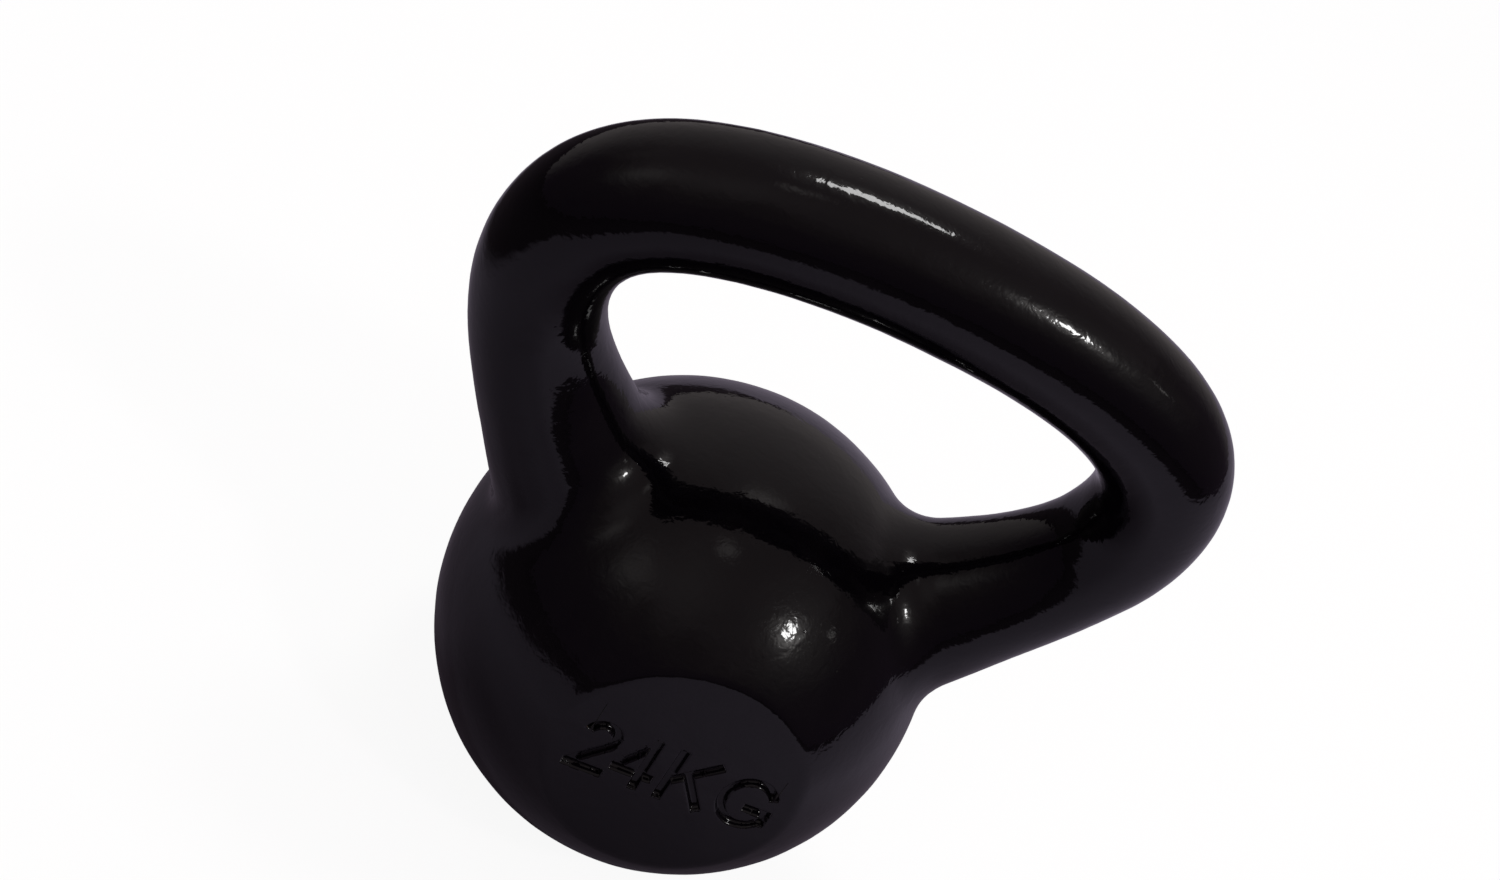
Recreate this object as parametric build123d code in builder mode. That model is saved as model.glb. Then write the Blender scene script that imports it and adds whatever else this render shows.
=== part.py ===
from build123d import *
import os

# Kettlebell of 24 kg: a ball and a handle of grey iron, welded together and enamelled.
# Millimetres, +Z up. The origin is the centre of the ground base face, +X runs along the grip,
# and -Y is the front, where the weight is marked. Outside sizes are over the enamel.

# ---- driving dimensions ----
ball_radius = 87.6
ball_height = 72.1  # ball centre above the base face
base_bevel = 1.2
flat_distance = 77.0  # ball centre to the front flat
flat_tilt = 12.3  # degrees that the flat looks up
flat_edge_radius = 6.0

grip_radius = 20.6
section_depth = 1.065  # a section's size front to back, as a share of its size across
root_flare = 8.8  # how much thicker than the grip a horn is inside the ball's surface
flare_start = 32.0  # along the centreline from its end inside the ball
flare_end = 98.0
sections = 25

coat = 0.3
coat_edge_height = 2.0  # the enamel stops this far above the base face
weld_radius = 20.0  # hollow fillet round a root

spigot_radius = 15.0
spigot_length = 30.0  # into the ball, from where the centreline enters it
socket_clearance = 0.2
socket_spare_depth = 1.0

bore_radius = 16.0
bore_depth = 62.0
charge_length = 44.0
plug_radius = 18.0
plug_thickness = 8.0

stroke = 3.0
letter_depth = 2.0
rise = 9.6  # half the height of the capitals, between the middles of their strokes
straight_strokes = [
    ((-22.6, 2.2), (-32.8, -9.4)),  # slope of the 2
    ((-34.1, -rise), (-20.6, -rise)),  # foot of the 2
    ((-9.6, rise + 1.5), (-9.6, -rise - 1.5)),  # stem of the 4
    ((-9.6, rise), (-18.6, -4.4)),  # slope of the 4
    ((-19.6, -4.8), (-5.4, -4.8)),  # bar of the 4
    ((-1.0, rise + 1.5), (-1.0, -rise - 1.5)),  # stem of the K
    ((-0.4, -2.2), (12.6, rise + 1.0)),  # arm of the K
    ((4.2, 2.0), (12.8, -rise - 1.0)),  # leg of the K
    ((25.6, -1.9), (35.1, -1.9)),  # bar of the G
    ((33.6, -1.9), (33.6, -7.4)),  # spur of the G
]

# The handle's centreline, across and up from the ball's centre, from inside the ball to the grip
horn_points = [
    (42.0, 25.9),
    (61.6, 51.1),
    (81.1, 76.4),
    (97.1, 104.1),
    (101.6, 127.0),
    (94.4, 150.0),
    (68.4, 167.6),
    (37.2, 174.8),
]
grip_rise = 177.2

centre = Vector(0, 0, ball_height)
flat_plane = Plane(centre, x_dir=(1, 0, 0), z_dir=(0, -1, 0)).rotated((-flat_tilt, 0, 0))

with BuildLine(Plane.XZ) as centreline:
    left_horn = [(-x, ball_height + up) for x, up in horn_points]
    right_horn = [(x, ball_height + up) for x, up in reversed(horn_points)]
    Spline(*left_horn, (0, ball_height + grip_rise), *right_horn)
path = centreline.edge()


def horn_radius(share):
    """Radius of the handle at a share of its centreline: even along the grip, thicker at the roots."""
    from_end = min(share, 1 - share) * path.length
    left = (flare_end - from_end) / (flare_end - flare_start)
    return grip_radius + root_flare * min(max(left, 0), 1) ** 1.5


def bar(skin):
    """Horns and grip as one bent bar, its surface that far under the enamel's."""
    with BuildPart() as body:
        for index in range(sections):
            share = index / (sections - 1)
            radius = horn_radius(share)
            section = Plane(path @ share, x_dir=(0, 1, 0), z_dir=path % share)
            with BuildSketch(section):
                Ellipse(radius * section_depth - skin, radius - skin)
        loft()
    return body.part


def ball(skin):
    """The ball, its surface that far under the enamel's, cut by the base and the front flat."""
    radius = ball_radius - skin
    with BuildPart() as body:
        with BuildSketch(Plane.YZ):
            with BuildLine():
                half = CenterArc((0, ball_height), radius, 180, 180)
                Line(half @ 1, half @ 0)
            make_face()
        revolve(axis=Axis(centre, (0, 1, 0)))
        split(bisect_by=flat_plane.offset(flat_distance - skin), keep=Keep.BOTTOM)
        rim = body.edges().filter_by(GeomType.CIRCLE).sort_by(Axis.Y)[0]
        fillet(rim, flat_edge_radius)
        split(bisect_by=Plane.XY, keep=Keep.TOP)
    return body.part


def letters(skin):
    """The grooves of the weight mark in the front flat, widened to leave room for the enamel."""
    width = stroke + 2 * skin
    with BuildPart() as grooves:
        with BuildSketch(flat_plane.offset(flat_distance - skin - letter_depth)):
            for start, end in straight_strokes:
                with BuildLine() as straight:
                    Line(start, end)
                trace(straight.line, width)
            with BuildLine() as hook:
                CenterArc((-26.7, 4.8), 4.8, 165, -205)
            trace(hook.line, width)
            with BuildLine() as bowl:
                EllipticalCenterArc((26.0, 0), 8.3, rise, start_angle=30, arc_size=290)
            trace(bowl.line, width)
        extrude(amount=letter_depth + 1)
    return grooves.part


def outline(skin):
    """Ball, handle and welds in one, their surface that far under the enamel's."""
    with BuildPart() as body:
        add(ball(skin))
        add(bar(skin))
        roots = body.edges(Select.NEW)
        fillet(roots, weld_radius + skin)
        add(letters(skin), mode=Mode.SUBTRACT)
    return body.part


def root_plane(side):
    """Where the centreline enters the ball, on the right (1) or the left (-1), looking down it."""
    across, up = horn_points[1]
    inner_across, inner_up = horn_points[0]
    point = (side * across, 0, ball_height + up)
    inward = (side * (inner_across - across), 0, inner_up - up)
    return Plane(point, x_dir=(0, 1, 0), z_dir=inward)


os.makedirs("parts", exist_ok=True)
iron_ball = ball(coat)
iron_bar = bar(coat)
iron_outline = outline(coat)

# ---- bell: the ball casting ----
with BuildPart() as bell:
    add(iron_ball)
    add(letters(coat), mode=Mode.SUBTRACT)
    base_edge = bell.faces().sort_by(Axis.Z)[0].edges()
    chamfer(base_edge, base_bevel)
    with BuildSketch(Plane.XY):
        Circle(bore_radius)
    extrude(amount=bore_depth, mode=Mode.SUBTRACT)
    with BuildSketch(Plane.XY):
        Circle(plug_radius)
    extrude(amount=plug_thickness, mode=Mode.SUBTRACT)
    for side in (-1, 1):
        with BuildSketch(root_plane(side).offset(-spigot_radius)):
            Circle(spigot_radius + socket_clearance)
        extrude(amount=spigot_radius + spigot_length + socket_spare_depth, mode=Mode.SUBTRACT)
bell.part.label = "bell"
export_step(bell.part, "parts/bell.step")

# ---- handle: horns and grip in one casting, with a spigot on each end ----
with BuildPart() as handle:
    add(iron_bar)
    add(iron_ball, mode=Mode.SUBTRACT)
    for side in (-1, 1):
        with BuildSketch(root_plane(side).offset(-spigot_radius)):
            Circle(spigot_radius)
        extrude(amount=spigot_radius + spigot_length)
handle.part.label = "handle"
export_step(handle.part, "parts/handle.step")

# ---- root welds: a bead round each horn, ground to a hollow fillet ----
with BuildPart() as beads:
    add(iron_outline)
    add(iron_ball, mode=Mode.SUBTRACT)
    add(iron_bar, mode=Mode.SUBTRACT)
for name, bead in zip(("root_weld_left", "root_weld_right"), beads.solids().sort_by(Axis.X)):
    with BuildPart() as root_weld:
        add(bead)
    root_weld.part.label = name
    export_step(root_weld.part, f"parts/{name}.step")

# ---- ballast charge: shot and resin set in the blind end of the bore ----
with BuildPart() as ballast_charge:
    with BuildSketch(Plane.XY.offset(bore_depth)):
        Circle(bore_radius)
    extrude(amount=-charge_length)
ballast_charge.part.label = "ballast_charge"
export_step(ballast_charge.part, "parts/ballast_charge.step")

# ---- base plug: a steel disc pressed in and ground flush with the base ----
with BuildPart() as base_plug:
    with BuildSketch(Plane.XY):
        Circle(plug_radius)
    extrude(amount=plug_thickness)
base_plug.part.label = "base_plug"
export_step(base_plug.part, "parts/base_plug.step")

# ---- enamel coat: one skin over the ball, welds and handle, open round the base face ----
with BuildPart() as enamel_coat:
    add(outline(0))
    add(iron_outline, mode=Mode.SUBTRACT)
    split(bisect_by=Plane.XY.offset(coat_edge_height), keep=Keep.TOP)
enamel_coat.part.label = "enamel_coat"
export_step(enamel_coat.part, "parts/enamel_coat.step")
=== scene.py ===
import math

import bmesh
import bpy
import numpy as np
from mathutils import Matrix, Vector
from mathutils.bvhtree import BVHTree


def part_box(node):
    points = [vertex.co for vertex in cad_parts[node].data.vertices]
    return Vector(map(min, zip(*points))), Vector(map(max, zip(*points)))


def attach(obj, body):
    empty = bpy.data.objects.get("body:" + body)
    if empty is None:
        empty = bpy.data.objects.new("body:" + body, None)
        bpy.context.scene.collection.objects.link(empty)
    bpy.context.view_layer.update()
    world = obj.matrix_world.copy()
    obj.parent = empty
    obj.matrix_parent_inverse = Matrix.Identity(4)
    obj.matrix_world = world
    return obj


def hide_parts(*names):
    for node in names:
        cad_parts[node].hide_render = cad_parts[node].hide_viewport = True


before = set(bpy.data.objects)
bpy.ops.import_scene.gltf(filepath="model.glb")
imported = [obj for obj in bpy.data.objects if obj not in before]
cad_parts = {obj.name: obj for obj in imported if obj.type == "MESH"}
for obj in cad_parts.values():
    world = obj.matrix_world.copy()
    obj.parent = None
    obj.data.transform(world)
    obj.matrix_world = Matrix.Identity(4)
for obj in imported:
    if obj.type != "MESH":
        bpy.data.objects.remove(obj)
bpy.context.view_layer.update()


# ---- Bell and handle ----
# Two grey iron sand castings: the ball, and the horns and grip in one piece, whose spigots are let
# into the ball. The enamel hides them, but for the face that the ball stands on, which is ground bare.


class Wire:
    """A value on a shader socket. Arithmetic on it adds the Math nodes that work it out."""

    def __init__(self, finish, socket):
        self.finish, self.socket = finish, socket

    def maths(self, operation, first, second):
        return self.finish.node("ShaderNodeMath", {"operation": operation}, {0: first, 1: second})

    def __add__(self, other):
        return self.maths("ADD", self, other)

    def __sub__(self, other):
        return self.maths("SUBTRACT", self, other)

    def __rsub__(self, other):
        return self.maths("SUBTRACT", other, self)

    def __mul__(self, other):
        return self.maths("MULTIPLY", self, other)

    def __pow__(self, other):
        return self.maths("POWER", self, other)

    __radd__, __rmul__ = __add__, __mul__


class Finish:
    """The nodes of a material, or of the room, built up one at a time."""

    def __init__(self, owner, coordinates="Object"):
        owner.use_nodes = True
        self.material = owner
        self.tree = owner.node_tree
        self.tree.nodes.clear()
        self.place = self.node("ShaderNodeTexCoord", output=coordinates)

    def node(self, kind, settings=(), inputs=(), output=0):
        """Adds a node: its settings first, then the values or links of its sockets."""
        made = self.tree.nodes.new(kind)
        for key, value in dict(settings).items():
            if key == "stops":
                while len(made.color_ramp.elements) < len(value):
                    made.color_ramp.elements.new(1.0)
                for element, (position, colour) in zip(made.color_ramp.elements, value):
                    element.position, element.color = position, colour
            else:
                setattr(made, key, value)
        for key, value in dict(inputs).items():
            if isinstance(value, Wire):
                self.tree.links.new(value.socket, made.inputs[key])
            else:
                made.inputs[key].default_value = value
        return Wire(self, made.outputs[output]) if len(made.outputs) else made

    def noise(self, size, detail=2.0, roughness=0.5, distortion=0.0):
        """Smooth random values between 0 and 1, with features of about that size in metres."""
        inputs = {
            "Vector": self.place,
            "Scale": 1 / size,
            "Detail": detail,
            "Roughness": roughness,
            "Distortion": distortion,
        }
        return self.node("ShaderNodeTexNoise", (), inputs)

    def noise_along(self, sizes, detail=2.0):
        """Noise whose features have a different size along X, Y and Z, in metres."""
        squeeze = {0: self.place, 1: [1 / size for size in sizes]}
        squeezed = self.node("ShaderNodeVectorMath", {"operation": "MULTIPLY"}, squeeze)
        return self.node("ShaderNodeTexNoise", (), {"Vector": squeezed, "Scale": 1.0, "Detail": detail})

    def fade(self, value, low, high):
        """0 where value is below low, 1 above high, and a smooth S between them."""
        settings = {"interpolation_type": "SMOOTHSTEP"}
        return self.node("ShaderNodeMapRange", settings, {"Value": value, 1: low, 2: high})

    def mix(self, share, first, second):
        """A colour between two others."""
        inputs = {0: share, 6: first, 7: second}
        return self.node("ShaderNodeMix", {"data_type": "RGBA"}, inputs, output=2)

    def bump(self, height):
        """The normal of a surface raised by height, in metres."""
        return self.node("ShaderNodeBump", (), {"Height": height, "Distance": 1.0, "Strength": 1.0})

    def surface(self, **inputs):
        """The shader itself. Socket names have underscores for their spaces."""
        named = {key.replace("_", " "): value for key, value in inputs.items()}
        shader = self.node("ShaderNodeBsdfPrincipled", (), named)
        self.node("ShaderNodeOutputMaterial", (), {"Surface": shader})
        return self.material


def iron_finish():
    """Ground grey iron: straight grinding lines, graphite specks and a little rust in the pores."""
    iron = Finish(bpy.data.materials.new("ground_iron"))
    lines = iron.noise_along((0.0006, 0.03, 0.03), detail=3.0)
    pores = iron.fade(iron.noise(0.0011, detail=2.0), 0.62, 0.72)
    patches = iron.fade(iron.noise(0.018, detail=4.0), 0.42, 0.66)
    bare = iron.mix(patches, (0.16, 0.157, 0.155, 1), (0.25, 0.245, 0.24, 1))
    rusty = iron.mix(pores * patches, bare, (0.13, 0.055, 0.022, 1))
    roughness = 0.34 + lines * 0.16 + pores * 0.2
    normal = iron.bump(lines * 1.5e-5 - pores * 3e-5)
    return iron.surface(Base_Color=rusty, Metallic=1 - pores * 0.6, Roughness=roughness, Normal=normal)


def give_finish(node, material):
    """Gives a CAD piece its finish."""
    for material_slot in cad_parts[node].material_slots:
        material_slot.material = material


iron = iron_finish()
give_finish("bell", iron)
give_finish("handle", iron)


# ---- Root welds ----
# A steel bead run round the foot of each horn and ground to a hollow fillet before enamelling.


def weld_finish():
    """Ground mild steel, a little scaly where the wheel missed it."""
    weld = Finish(bpy.data.materials.new("ground_weld"))
    swirls = weld.noise(0.0009, detail=4.0, distortion=1.5)
    scale = weld.fade(weld.noise(0.006, detail=5.0), 0.52, 0.62)
    colour = weld.mix(scale, (0.34, 0.335, 0.33, 1), (0.09, 0.085, 0.09, 1))
    normal = weld.bump(swirls * 2e-5 + scale * 6e-5)
    roughness = 0.3 + swirls * 0.15 + scale * 0.25
    return weld.surface(Base_Color=colour, Metallic=1 - scale * 0.5, Roughness=roughness, Normal=normal)


weld = weld_finish()
give_finish("root_weld_left", weld)
give_finish("root_weld_right", weld)


# ---- Ballast charge and base plug ----
# Iron shot set in resin fills the blind end of the bore and trims the casting to its weight. A turned
# steel disc is pressed into the bore's mouth over it and ground flush with the base.


def shot_finish():
    """Dark resin full of small iron shot."""
    shot = Finish(bpy.data.materials.new("shot_in_resin"))
    cells = {"Vector": shot.place, "Scale": 420.0}
    gap = shot.node("ShaderNodeTexVoronoi", {"feature": "F1"}, cells, output="Distance")
    ball = 1 - shot.fade(gap, 0.3, 0.42)
    grime = shot.noise(0.002, detail=4.0)
    colour = shot.mix(ball, (0.022, 0.017, 0.012, 1), (0.21, 0.2, 0.19, 1))
    roughness = 0.32 + grime * 0.3
    normal = shot.bump(ball * 3e-4)
    return shot.surface(Base_Color=colour, Metallic=ball * 0.9, Roughness=roughness, Normal=normal)


def plug_finish():
    """Steel with the rings of the lathe tool, crossed by a few scratches from the floor."""
    plug = Finish(bpy.data.materials.new("turned_steel"))
    x = plug.node("ShaderNodeSeparateXYZ", (), {0: plug.place}, output="X")
    y = plug.node("ShaderNodeSeparateXYZ", (), {0: plug.place}, output="Y")
    from_middle = (x * x + y * y) ** 0.5
    turning = from_middle.maths("SINE", from_middle * (2 * math.pi / 0.0007), 0.0)
    scratches = plug.fade(plug.noise_along((0.0005, 0.02, 0.02), detail=2.0), 0.68, 0.74)
    dull = plug.fade(plug.noise(0.006, detail=4.0), 0.4, 0.7)
    colour = plug.mix(dull, (0.52, 0.515, 0.51, 1), (0.36, 0.35, 0.34, 1))
    roughness = 0.24 + dull * 0.16 + scratches * 0.15
    normal = plug.bump(turning * 4e-6 - scratches * 1.5e-5)
    return plug.surface(Base_Color=colour, Metallic=1.0, Roughness=roughness, Normal=normal)


give_finish("ballast_charge", shot_finish())
give_finish("base_plug", plug_finish())


# ---- Enamel coat ----
# Gloss black enamel, dipped or sprayed over the whole body and stoved, 0.3 mm thick. It follows the
# waves of the sand casting, lines the grooves of the weight mark and ends where the base is ground.
# Its surface is worked out here, as a distance in millimetres from any point to it.

MM = 0.001
COAT = 0.3
SECTION_DEPTH = 1.065  # the handle is that many times deeper, front to back, than it is thick
ROOT_FLARE = 8.8
FLARE_START = 32.0
FLARE_END = 98.0
WELD_RADIUS = 20.0
FLAT_TILT = math.radians(12.3)
FLAT_EDGE_RADIUS = 6.0
HORN_POINTS = [
    (42.0, 25.9),
    (61.6, 51.1),
    (81.1, 76.4),
    (97.1, 104.1),
    (101.6, 127.0),
    (94.4, 150.0),
    (68.4, 167.6),
    (37.2, 174.8),
]


def node_corners(node):
    """Lowest and highest corner of a CAD node, in millimetres."""
    return [np.array(corner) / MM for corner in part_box(node)]


bell_high = node_corners("bell")[1]
coat_low, coat_high = node_corners("enamel_coat")
ball_radius = bell_high[0] + COAT
ball_height = bell_high[2] - bell_high[0]
ball_centre = np.array([0.0, 0.0, ball_height])
flat_normal = np.array([0.0, -math.cos(FLAT_TILT), math.sin(FLAT_TILT)])
flat_up = np.array([0.0, math.sin(FLAT_TILT), math.cos(FLAT_TILT)])
flat_distance = 77.0
grip_radius = 20.6
grip_rise = coat_high[2] - grip_radius - ball_height


def spline_through(points):
    """Smooth curve through the points: a function that gives place, slope and bend at a parameter."""
    points = np.array(points, float)
    knots = np.r_[0, np.cumsum(np.linalg.norm(np.diff(points, axis=0), axis=1))]
    steps = np.diff(knots)
    count = len(points)
    rows = np.eye(count)
    right = np.zeros((count, 2))
    for k in range(1, count - 1):
        rows[k, k - 1 : k + 2] = steps[k - 1], 2 * (steps[k - 1] + steps[k]), steps[k]
        rise_after = (points[k + 1] - points[k]) / steps[k]
        right[k] = 6 * (rise_after - (points[k] - points[k - 1]) / steps[k - 1])
    rows[0, :3] = steps[1], -steps[0] - steps[1], steps[0]
    rows[-1, -3:] = steps[-1], -steps[-2] - steps[-1], steps[-2]
    bends = np.linalg.solve(rows, right)

    def at(t):
        k = np.clip(np.searchsorted(knots, t) - 1, 0, count - 2)
        h = steps[k][:, None]
        a = (knots[k + 1] - t)[:, None]
        b = (t - knots[k])[:, None]
        low, high = bends[k], bends[k + 1]
        near, far = points[k] / h - low * h / 6, points[k + 1] / h - high * h / 6
        place = (low * a**3 + high * b**3) / (6 * h) + near * a + far * b
        slope = (high * b**2 - low * a**2) / (2 * h) - near + far
        return place, slope, (low * a + high * b) / h

    return at, knots[-1]


left_half = [(-x, z) for x, z in HORN_POINTS]
right_half = [(x, z) for x, z in reversed(HORN_POINTS)]
centreline, line_length = spline_through(left_half + [(0, grip_rise)] + right_half)
line_samples = np.linspace(0, line_length, 60)
sample_places = centreline(line_samples)[0]
arc_ratio = np.linalg.norm(centreline(line_samples)[1], axis=1).mean()  # true length to chord length


def horn_radius(t):
    """Radius of the handle at a parameter of its centreline, and how fast it changes."""
    from_end = np.minimum(t, line_length - t) * arc_ratio
    left = np.clip((FLARE_END - from_end) / (FLARE_END - FLARE_START), 0, 1)
    inside = (left > 0) & (left < 1)
    change = -1.5 * ROOT_FLARE * left**0.5 / (FLARE_END - FLARE_START) * inside
    return grip_radius + ROOT_FLARE * left**1.5, change * np.where(t < line_length / 2, 1, -1)


def handle_distance(p):
    """Distance to the handle's surface, and the direction that leads straight away from it."""
    flat_p = p[:, [0, 2]] - [0, ball_height]
    gaps = ((flat_p[:, None, :] - sample_places[None]) ** 2).sum(2)
    t = line_samples[gaps.argmin(1)]
    for _ in range(4):
        place, slope, bend = centreline(t)
        miss = place - flat_p
        down = (slope**2).sum(1) + (miss * bend).sum(1)
        t = np.clip(t - (miss * slope).sum(1) / np.maximum(down, 0.3), 0, line_length)
    place, slope, _ = centreline(t)
    away = flat_p - place
    deep = p[:, 1] / SECTION_DEPTH
    reach = np.maximum(np.sqrt((away**2).sum(1) + deep**2), 1e-6)
    radius, change = horn_radius(t)
    away = away / reach[:, None] - slope * change[:, None]
    direction = np.stack([away[:, 0], deep / SECTION_DEPTH / reach, away[:, 1]], 1)
    steepness = np.linalg.norm(direction, axis=1)
    return (reach - radius) / steepness, direction / steepness[:, None]


def ball_distance(p):
    """Distance to the ball with its front flat, whose rim is rounded."""
    from_centre = p - ball_centre
    forward = from_centre @ flat_normal
    total = np.linalg.norm(from_centre, axis=1)
    aside = np.sqrt(np.maximum(total**2 - forward**2, 0))
    rim_forward = flat_distance - FLAT_EDGE_RADIUS
    rim_aside = math.sqrt((ball_radius - FLAT_EDGE_RADIUS) ** 2 - rim_forward**2)
    out, ahead = aside - rim_aside, forward - rim_forward
    on_flat = (aside < rim_aside) & (forward > 0)
    on_rim = (out >= 0) & (out * rim_forward < ahead * rim_aside)
    rounded = np.hypot(out, ahead) - FLAT_EDGE_RADIUS
    ball = np.where(on_rim, rounded, total - ball_radius)
    distance = np.where(on_flat, np.maximum(forward - flat_distance, total - ball_radius), ball)
    return distance, from_centre / np.maximum(total, 1e-9)[:, None]


NEAR_PARALLEL = 0.97  # the largest cosine at which two directions are still told apart


def steps_along(a, b, first, second):
    """The steps along two directions whose sum reaches a along the first and b along the second."""
    cosine = np.clip((first * second).sum(1), -NEAR_PARALLEL, NEAR_PARALLEL)
    return (a - b * cosine) / (1 - cosine**2), (b - a * cosine) / (1 - cosine**2)


def body_distance(p):
    """Distance to the whole body: ball and handle, with a rolling-ball fillet at the roots."""
    ball, _ = ball_distance(p)
    bar, _ = handle_distance(p)
    distance = np.minimum(ball, bar)
    near = np.flatnonzero((ball < WELD_RADIUS) & (bar < WELD_RADIUS))
    start = p[near]
    middle = start.copy()  # of the ball that rolls along both surfaces
    for _ in range(4):
        ball_gap, ball_away = ball_distance(middle)
        bar_gap, bar_away = handle_distance(middle)
        u, v = WELD_RADIUS - ball_gap, WELD_RADIUS - bar_gap
        along_ball, along_bar = steps_along(u, v, ball_away, bar_away)
        middle += np.clip(along_ball, -WELD_RADIUS, WELD_RADIUS)[:, None] * ball_away
        middle += np.clip(along_bar, -WELD_RADIUS, WELD_RADIUS)[:, None] * bar_away
    moved = middle - start
    u, v = (moved * ball_away).sum(1), (moved * bar_away).sum(1)
    towards_ball, towards_bar = steps_along(u, v, ball_away, bar_away)
    rolling = (towards_ball > 0) & (towards_bar > 0)
    fillet = WELD_RADIUS - np.linalg.norm(middle - start, axis=1)
    distance[near] = np.where(rolling, np.minimum(fillet, distance[near]), distance[near])
    return distance


COARSE_MESH = 2.7
THIN_FILM = 0.13  # the enamel aimed for over an edge of the castings
MARK_RADIUS = 39.0  # the weight mark lies within this circle on the flat
FLAT_RIM = (37.5, 45.5)  # from the flat's middle, the band that holds its rounded rim
FRONT = -50.0  # the flat and its rim lie in front of this
ROOT_REACH = 26.0  # points within this of both ball and handle are softened
STROKE = 3.0
LETTER_DEPTH = 2.0
LIP = 0.25  # how far the enamel's rounding reaches outside a groove
WALL = 0.5  # and how far its wall reaches inside
RISE = 9.6
STRAIGHT_STROKES = [
    ((-22.6, 2.2), (-32.8, -9.4)),
    ((-34.1, -RISE), (-20.6, -RISE)),
    ((-9.6, RISE + 1.5), (-9.6, -RISE - 1.5)),
    ((-9.6, RISE), (-18.6, -4.4)),
    ((-19.6, -4.8), (-5.4, -4.8)),
    ((-1.0, RISE + 1.5), (-1.0, -RISE - 1.5)),
    ((-0.4, -2.2), (12.6, RISE + 1.0)),
    ((4.2, 2.0), (12.8, -RISE - 1.0)),
    ((25.6, -1.9), (35.1, -1.9)),
    ((33.6, -1.9), (33.6, -7.4)),
]
# centre, half width, half height, first and last angle of the hook of the 2 and the bowl of the G
CURVED_STROKES = [
    ((-26.7, 4.8), 4.8, 4.8, 165, -40),
    ((26.0, 0.0), 8.3, RISE, 30, 320),
]


def groove_distance(q):
    """Distance in the plane of the flat from each point to the nearest stroke's edge."""
    nearest = np.full(len(q), 1e3)
    for start, end in STRAIGHT_STROKES:
        start, end = np.array(start), np.array(end)
        length = np.linalg.norm(end - start)
        along = (end - start) / length
        offset = q - (start + end) / 2
        lengthwise = np.abs(offset @ along) - length / 2
        across = np.abs(offset @ [-along[1], along[0]]) - STROKE / 2
        outside = np.hypot(np.maximum(lengthwise, 0), np.maximum(across, 0))
        nearest = np.minimum(nearest, outside + np.minimum(np.maximum(lengthwise, across), 0))
    for (x, y), half_width, half_height, first, last in CURVED_STROKES:
        angles = np.radians(np.linspace(first, last, 400))
        arc = np.stack([x + half_width * np.cos(angles), y + half_height * np.sin(angles)], 1)
        gaps = np.sqrt(((q[:, None, :] - arc[None]) ** 2).sum(2))
        k = gaps.argmin(1)
        distance = gaps[np.arange(len(q)), k] - STROKE / 2
        for end, inner in ((0, 1), (-1, -2)):
            outward = arc[end] - arc[inner]
            past = (q - arc[end]) @ (outward / np.linalg.norm(outward))
            at_end = k == (0 if end == 0 else len(arc) - 1)
            distance = np.where(at_end, np.maximum(distance, past), distance)
        nearest = np.minimum(nearest, distance)
    return nearest


def ramp_between(value, low, high):
    """0 below low, 1 above high, and a smooth S between them."""
    share = np.clip((value - low) / (high - low), 0, 1)
    return share * share * (3 - 2 * share)


def waves(p, wavelength, count, seed):
    """Even random unevenness of one wavelength: a sum of plane waves with random directions."""
    draw = np.random.default_rng(seed)
    directions = draw.normal(size=(count, 3))
    directions /= np.linalg.norm(directions, axis=1, keepdims=True)
    lengths = wavelength * draw.uniform(0.75, 1.35, count)
    phases = draw.uniform(0, 2 * math.pi, count)
    total = np.zeros(len(p))
    for direction, length, phase in zip(directions, lengths, phases):
        total += np.sin(p @ direction * (2 * math.pi / length) + phase)
    return total / math.sqrt(count / 2)


def unevenness(p):
    """How far the real surface lies under the true one: long casting waves and short ripples."""
    long_waves = 0.045 * waves(p, 46, 24, 1) + 0.025 * waves(p, 17, 24, 2)
    ripples = 0.007 * waves(p, 7.0, 30, 3)
    return np.minimum(long_waves + ripples - 0.12, 0)


def settle(p, passes):
    """Moves points onto the true surface."""
    step = 0.02
    for _ in range(passes):
        here = body_distance(p)
        slope = np.stack([(body_distance(p + step * axis) - here) / step for axis in np.eye(3)], 1)
        p = p - slope * (here / np.maximum((slope**2).sum(1), 0.2))[:, None]
    return p


def rough_body():
    """A ball and a row of rings along the handle, fused into one closed mesh of even small faces."""
    bm = bmesh.new()
    bmesh.ops.create_uvsphere(bm, u_segments=96, v_segments=48, radius=ball_radius - 0.5)
    bmesh.ops.translate(bm, verts=bm.verts, vec=Vector(ball_centre))
    rings = []
    for t in np.linspace(0, line_length, 120):
        place, slope, _ = centreline(np.array([t]))
        across = np.array([-slope[0, 1], 0, slope[0, 0]]) / np.linalg.norm(slope)
        radius = horn_radius(np.array([t]))[0][0]
        middle = np.array([place[0, 0], 0, place[0, 1] + ball_height])
        ring = []
        for angle in np.linspace(0, 2 * math.pi, 48, endpoint=False):
            edge = middle + radius * math.cos(angle) * across
            edge[1] += radius * SECTION_DEPTH * math.sin(angle)
            ring.append(bm.verts.new(edge))
        rings.append(ring)
    for ring, after in zip(rings, rings[1:]):
        for k in range(len(ring)):
            bm.faces.new((ring[k], ring[k - 1], after[k - 1], after[k]))
    bm.faces.new(rings[0])
    bm.faces.new(rings[-1][::-1])
    bmesh.ops.recalc_face_normals(bm, faces=bm.faces)
    mesh = bpy.data.meshes.new("rough_body")
    bm.to_mesh(mesh)
    bm.free()
    rough = bpy.data.objects.new("rough_body", mesh)
    bpy.context.scene.collection.objects.link(rough)
    fuse = rough.modifiers.new("fuse", "REMESH")
    fuse.mode = "VOXEL"
    fuse.voxel_size = COARSE_MESH
    evaluated = rough.evaluated_get(bpy.context.evaluated_depsgraph_get())
    fused = bpy.data.meshes.new_from_object(evaluated)
    bpy.data.objects.remove(rough)
    return fused


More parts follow.
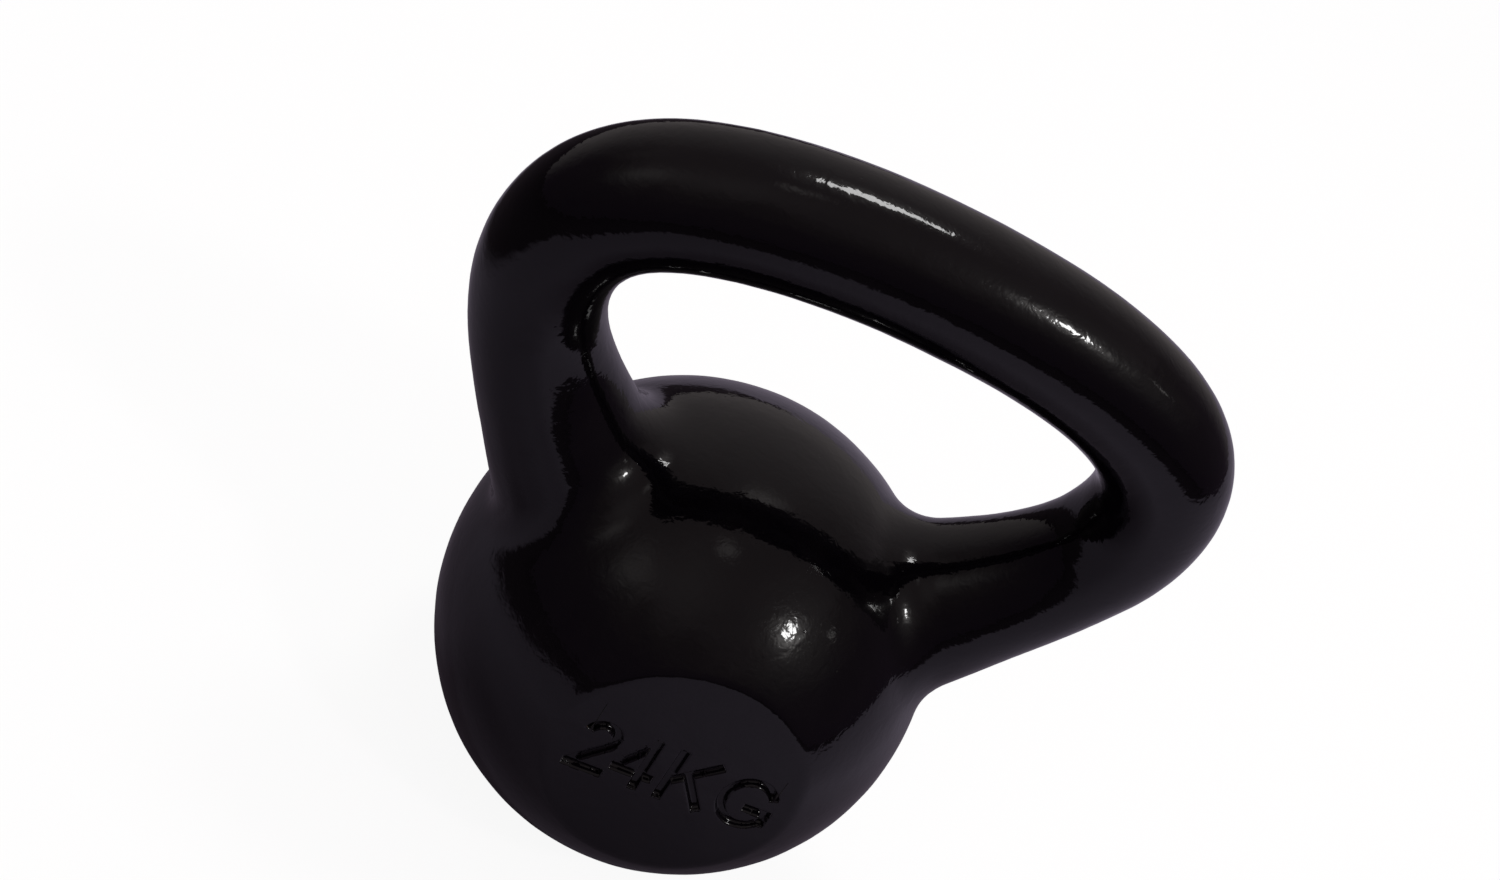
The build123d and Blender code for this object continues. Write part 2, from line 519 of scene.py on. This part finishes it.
def coordinates(mesh):
    """The mesh's points as an array."""
    flat = np.zeros(len(mesh.vertices) * 3)
    mesh.vertices.foreach_get("co", flat)
    return flat.reshape(-1, 3)


def neighbour_means(p, first, second):
    """The middle of each point's neighbours along the edges, and whether it has any."""
    count = len(p)
    neighbours = np.bincount(np.r_[first, second], minlength=count)
    sums = np.zeros((count, 3))
    for axis in range(3):
        sums[:, axis] += np.bincount(first, p[second, axis], count)
        sums[:, axis] += np.bincount(second, p[first, axis], count)
    return sums / np.maximum(neighbours, 1)[:, None], neighbours > 0


def even_out(mesh, rounds):
    """Evens out the spacing of the points while they stay on the true surface."""
    ends = np.zeros(len(mesh.edges) * 2, int)
    mesh.edges.foreach_get("vertices", ends)
    first, second = ends.reshape(-1, 2).T
    p = settle(coordinates(mesh), 3)
    for _ in range(rounds):
        means, _ = neighbour_means(p, first, second)
        p = settle(p + 0.6 * (means - p), 1)
    mesh.vertices.foreach_set("co", settle(p, 2).ravel())


def soften_roots(p, first, second):
    """Runs the fillets softly into the ball and the horns, as the grinder and the enamel leave them."""
    _, joined = neighbour_means(p, first, second)
    near_ball = ball_distance(p)[0] < ROOT_REACH
    at_root = near_ball & (handle_distance(p)[0] < ROOT_REACH) & joined
    shrink, grow, rounds = 0.5, -0.52, 14
    for share in [shrink, grow] * rounds:
        means, _ = neighbour_means(p, first, second)
        p = p + share * at_root[:, None] * (means - p)
    return p


def clear_of_iron(p, normals):
    """Lifts points that lie less than a thin film above the castings, by most_lift at most."""
    most_lift = 0.4
    for node in ("bell", "handle", "root_weld_left", "root_weld_right"):
        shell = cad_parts[node].data
        places = coordinates(shell) / MM
        tree = BVHTree.FromPolygons(places.tolist(), [list(face.vertices) for face in shell.polygons])
        for k, point in enumerate(p):
            hit, away, _, _ = tree.find_nearest(point, 0.5)
            along = away.dot(normals[k]) if hit else 0
            if along > 0.3:
                lift = (THIN_FILM - (Vector(point) - hit).dot(away)) / along
                p[k] += normals[k] * min(max(lift, 0), most_lift)
    return p


def on_flat(p):
    """Places in the plane of the front flat, and how far each point is from its middle."""
    aside = np.stack([p[:, 0], (p - ball_centre) @ flat_up], 1)
    in_front = (p - ball_centre) @ flat_normal > flat_distance - 8
    return aside, np.where(in_front, np.hypot(*aside.T), 1e3)


def snap_to_walls(p):
    """Moves points near the top, the middle or the foot of a groove's wall onto it."""
    reach = 0.18
    aside, from_middle = on_flat(p)
    marked = np.flatnonzero(from_middle < MARK_RADIUS)
    q, step = aside[marked], 0.01
    here = groove_distance(q)
    slope = np.stack([(groove_distance(q + step * axis) - here) / step for axis in np.eye(2)], 1)
    levels = np.array([0.8 * LIP, (LIP - WALL) / 2, -WALL])
    gaps = levels[None] - here[:, None]
    nearest = np.abs(gaps).argmin(1)
    move = gaps[np.arange(len(q)), nearest]
    move = np.where(np.abs(move) < reach, move, 0)[:, None] * slope
    p[marked] += move[:, :1] * np.array([1.0, 0, 0]) + move[:, 1:] * flat_up
    return p


def refine_letters(bm):
    """Splits the faces round the letters three times, ever nearer the walls, and the rim's once."""
    for low, high in ((-9.0, 5.0), (-9.0, 1.6), (-1.2, 0.5)):
        bm.verts.ensure_lookup_table()
        faces = [f for f in bm.faces if f.calc_center_median().y < FRONT]
        centres = np.array([f.calc_center_median() for f in faces])
        aside, from_middle = on_flat(centres)
        distance = groove_distance(aside)
        chosen = (distance > low) & (distance < high) & (from_middle < MARK_RADIUS)
        edges = {e for f, take in zip(faces, chosen) if take for e in f.edges}
        bmesh.ops.subdivide_edges(bm, edges=list(edges), cuts=1, use_grid_fill=True)
    bm.faces.ensure_lookup_table()
    front = [f for f in bm.faces if f.calc_center_median().y < FRONT]
    from_middle = on_flat(np.array([f.calc_center_median() for f in front]))[1]
    edges = {e for f, far in zip(front, from_middle) if FLAT_RIM[0] < far < FLAT_RIM[1] for e in f.edges}
    bmesh.ops.subdivide_edges(bm, edges=list(edges), cuts=1, use_grid_fill=True)
    large = [f for f in bm.faces if len(f.verts) > 4]
    bmesh.ops.triangulate(bm, faces=large)


def skin_mesh():
    """The coat as a closed skin: its outer surface, the same surface one coat lower, and the rim."""
    mesh = rough_body()
    even_out(mesh, 8)
    bm = bmesh.new()
    bm.from_mesh(mesh)
    everything = list(bm.verts) + list(bm.edges) + list(bm.faces)
    edge_height = coat_low[2]
    bmesh.ops.bisect_plane(
        bm, geom=everything, plane_co=(0, 0, edge_height), plane_no=(0, 0, -1), clear_outer=True
    )
    refine_letters(bm)
    bm.to_mesh(mesh)
    p = coordinates(mesh)
    on_edge = np.abs(p[:, 2] - edge_height) < 0.01
    p = settle(p, 2)
    ends = np.array([[v.index for v in e.verts] for e in bm.edges])
    p = soften_roots(p, *ends.T)
    p[on_edge, 2] = edge_height
    p = snap_to_walls(p)
    mesh.vertices.foreach_set("co", p.ravel())
    mesh.update()
    normals = np.zeros(len(p) * 3)
    mesh.vertices.foreach_get("normal", normals)
    normals = normals.reshape(-1, 3)
    aside, from_middle = on_flat(p)
    depth = np.zeros(len(p))
    marked = from_middle < MARK_RADIUS
    edge = groove_distance(aside[marked])
    depth[marked] = LETTER_DEPTH * ramp_between(-edge, -LIP, WALL)
    p = p + unevenness(p)[:, None] * normals - depth[:, None] * flat_normal
    p = clear_of_iron(p, normals)
    p[on_edge, 2] = edge_height
    for vert, place in zip(bm.verts, p):
        vert.co = place
    bm.normal_update()
    outer = list(bm.verts)
    outer_faces = [[v.index for v in f.verts] for f in bm.faces]
    rim = [e for e in bm.edges if len(e.link_faces) == 1]
    rim_faces = []
    for e in rim:
        loop = e.link_loops[0]
        rim_faces.append((loop.link_loop_next.vert.index, loop.vert.index))
    normals = np.array([v.normal for v in outer])
    normals[on_edge, 2] = 0
    inner = p - COAT * normals
    bm.free()
    count = len(p)
    faces = outer_faces + [[k + count for k in reversed(f)] for f in outer_faces]
    faces += [(a, b, b + count, a + count) for a, b in rim_faces]
    made = bpy.data.meshes.new("enamel_coat")
    made.from_pydata((np.vstack([p, inner]) * MM).tolist(), [], faces)
    made.validate()
    made.polygons.foreach_set("use_smooth", [True] * len(made.polygons))
    bpy.data.meshes.remove(mesh)
    return made


def enamel_finish():
    """Deep black gloss: orange peel, a few pinholes, faint haze where hands and cloths have been."""
    enamel = Finish(bpy.data.materials.new("black_enamel"))
    peel = enamel.noise(0.0016, detail=1.0)
    ripple = enamel.noise(0.0045, detail=2.0, distortion=0.6)
    cells = {"Vector": enamel.place, "Scale": 130.0}
    dots = enamel.node("ShaderNodeTexVoronoi", {"feature": "F1"}, cells, output="Distance")
    chance = enamel.node("ShaderNodeTexVoronoi", {"feature": "F1"}, cells, output="Color")
    chosen = enamel.node("ShaderNodeSeparateColor", (), {0: chance}, output=0)
    pinholes = (1 - enamel.fade(dots, 0.02, 0.075)) * enamel.fade(chosen, 0.80, 0.84)
    height = peel * 2.2e-5 + ripple * 9e-5 - pinholes * 4e-5
    haze = enamel.fade(enamel.noise(0.03, detail=5.0, roughness=0.62), 0.46, 0.72)
    dust = enamel.fade(enamel.noise(0.0007, detail=0.0), 0.72, 0.8)
    roughness = 0.05 + haze * 0.05 + dust * 0.12 + pinholes * 0.2
    colour = enamel.mix(haze, (0.0045, 0.0032, 0.0055, 1), (0.0072, 0.0055, 0.0078, 1))
    return enamel.surface(
        Base_Color=colour, Roughness=roughness, IOR=1.5, Normal=enamel.bump(height)
    )


enamel_coat = bpy.data.objects.new("enamel_coat_skin", skin_mesh())
bpy.context.scene.collection.objects.link(enamel_coat)
enamel_coat.data.materials.append(enamel_finish())
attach(enamel_coat, "root")
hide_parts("enamel_coat")


# ---- Studio ----
# A pale floor under the part, and a dim room with two lamps that its gloss picks up. The room is only
# reflected: the camera sees white round the part. In the gloss the floor carries painted light: it
# glows, brighter to the right, with a painted shadow round the foot.

floor_mesh = bpy.data.meshes.new("floor")
half = 4.0
level = -0.0005
corners = [(-half, -half, level), (half, -half, level), (half, half, level), (-half, half, level)]
floor_mesh.from_pydata(corners, [], [(0, 1, 2, 3)])
floor = bpy.data.objects.new("floor", floor_mesh)
bpy.context.scene.collection.objects.link(floor)
pale = Finish(bpy.data.materials.new("pale_floor"))
white = pale.node("ShaderNodeEmission", (), {"Color": (1, 1, 1, 1), "Strength": 0.92})
paper = pale.node("ShaderNodeBsdfDiffuse", (), {"Color": (0.25, 0.25, 0.25, 1)})
shown = pale.node("ShaderNodeAddShader", (), {0: white, 1: paper})
across = pale.node("ShaderNodeSeparateXYZ", (), {0: pale.place}, output="X")
away = pale.node("ShaderNodeSeparateXYZ", (), {0: pale.place}, output="Y")
sheet = pale.fade(across, -0.62, -0.5) * pale.fade(away, -0.72, -0.6)
sheet = sheet * pale.fade(across + away * -0.35, -0.42, -0.3)
# Painted shadow: the floor's painted glow fades out within 0.3 m of the foot.
painted_shadow_round_foot = pale.fade((across * across + away * away) ** 0.5, 0.12, 0.3)
reflected = pale.mix(sheet, (0.12, 0.10, 0.12, 1), (0.35, 0.31, 0.395, 1))
matt = pale.node("ShaderNodeBsdfDiffuse", (), {"Color": reflected})
# Painted light: an emission seen only in reflections, stronger to the right, cut by the painted shadow
# round the foot.
strength = sheet * painted_shadow_round_foot * (0.075 + 0.06 * pale.fade(across, -0.05, 0.2))
lift = pale.node("ShaderNodeEmission", (), {"Color": (1.1, 1.0, 1.27, 1), "Strength": strength})
table_top = pale.node("ShaderNodeAddShader", (), {0: matt, 1: lift})
seen = pale.node("ShaderNodeLightPath", output="Is Camera Ray")
both = pale.node("ShaderNodeMixShader", (), {0: seen, 1: table_top, 2: shown})
pale.node("ShaderNodeOutputMaterial", (), {"Surface": both})
floor_mesh.materials.append(pale.material)

world = bpy.data.worlds.new("room")
room = Finish(world, coordinates="Generated")


def towards(azimuth, elevation):
    """The direction of a place in the room, in degrees: 0 is in front, 90 on the right."""
    a, e = math.radians(azimuth), math.radians(elevation)
    return Vector((math.sin(a) * math.cos(e), -math.cos(a) * math.cos(e), math.sin(e)))


def glow(azimuth, elevation, strength, half_width):
    """A soft round light patch on the wall or the ceiling, half as bright half_width from its middle."""
    settings, middle = {"operation": "DOT_PRODUCT"}, towards(azimuth, elevation)
    facing = room.node("ShaderNodeVectorMath", settings, {0: room.place, 1: middle}, output="Value")
    facing = facing.maths("MAXIMUM", facing, 0.0)
    return facing ** (math.log(0.5) / math.log(math.cos(math.radians(half_width)))) * strength


depth = room.node("ShaderNodeSeparateXYZ", (), {0: room.place}, output="Y")
height = room.node("ShaderNodeSeparateXYZ", (), {0: room.place}, output="Z")
blotches = room.noise(0.3, detail=3.0, roughness=0.6)
stops = [
    (0.0, (0.050, 0.036, 0.052, 1)),
    (0.40, (0.066, 0.052, 0.062, 1)),
    (0.60, (0.100, 0.083, 0.085, 1)),
    (0.75, (0.150, 0.126, 0.130, 1)),
    (1.0, (0.170, 0.143, 0.146, 1)),
]
walls = room.node("ShaderNodeValToRGB", {"stops": stops}, {0: height + (blotches - 0.5) * 0.4})
tone = room.mix(room.fade(depth, 0.25, 0.85), walls, (0.26, 0.235, 0.235, 1))
patches = glow(-66, 42, 0.2, 8) + glow(-110, 42, 0.03, 7) + glow(-38, 60, 0.06, 12)
patches = patches + glow(-48, 82, 0.3, 3) + glow(76, 38, 1.2, 1.2)
lamplight = glow(53, 49, 2.2, 4.5) + glow(55, 46, 0.17, 14) + glow(165, 70, 0.6, 7)
dim = room.node("ShaderNodeBackground", (), {"Color": tone, "Strength": 1.0})
lights = patches + lamplight
glowing = room.node("ShaderNodeBackground", (), {"Color": (1.0, 0.97, 0.95, 1), "Strength": lights})
around = room.node("ShaderNodeAddShader", (), {0: dim, 1: glowing})
white = room.node("ShaderNodeBackground", (), {"Color": (1, 1, 1, 1), "Strength": 1.0})
seen = room.node("ShaderNodeLightPath", output="Is Camera Ray")
both = room.node("ShaderNodeMixShader", (), {0: seen, 1: around, 2: white})
room.node("ShaderNodeOutputWorld", (), {"Surface": both})
bpy.context.scene.world = world


def lamp(name, azimuth, elevation, wide, high, radiance):
    """A soft lamp 3 m from the part on that side, its size as degrees of the part's view."""
    distance = 3.0
    part_middle = Vector((0, 0, 0.12))
    light = bpy.data.lights.new(name, "AREA")
    light.shape = "ELLIPSE"
    light.size = distance * math.radians(wide)
    light.size_y = distance * math.radians(high)
    light.energy = radiance * math.pi**2 / 4 * light.size * light.size_y
    made = bpy.data.objects.new(name, light)
    back = towards(azimuth, elevation)
    made.location = part_middle + back * distance
    made.rotation_euler = back.to_track_quat("Z", "Y").to_euler()
    bpy.context.scene.collection.objects.link(made)


lamp("front_lamp", 53, 50, 5.5, 5.5, 24)
lamp("rear_lamp", 165, 72, 18.0, 7.0, 10)


# ---- Camera ----
# In front of the part, to its left and well above the ball. It is turned so that the handle leans
# to the right.

camera_data = bpy.data.cameras.new("camera")
camera_data.sensor_width = 36.0
camera_data.lens = 36.0
camera_data.clip_start = 0.01
camera = bpy.data.objects.new("camera", camera_data)
right = Vector((0.88693, 0.10487, 0.44985))
down = Vector((0.39281, -0.68364, -0.61509))
forward = right.cross(down)
turn = Matrix((right, -down, -forward)).transposed().to_4x4()
camera.matrix_world = Matrix.Translation(Vector((-0.1347, -0.3407, 0.3973 + ball_height * MM))) @ turn
bpy.context.scene.collection.objects.link(camera)
bpy.context.scene.camera = camera
bpy.context.scene.view_settings.view_transform = "Standard"
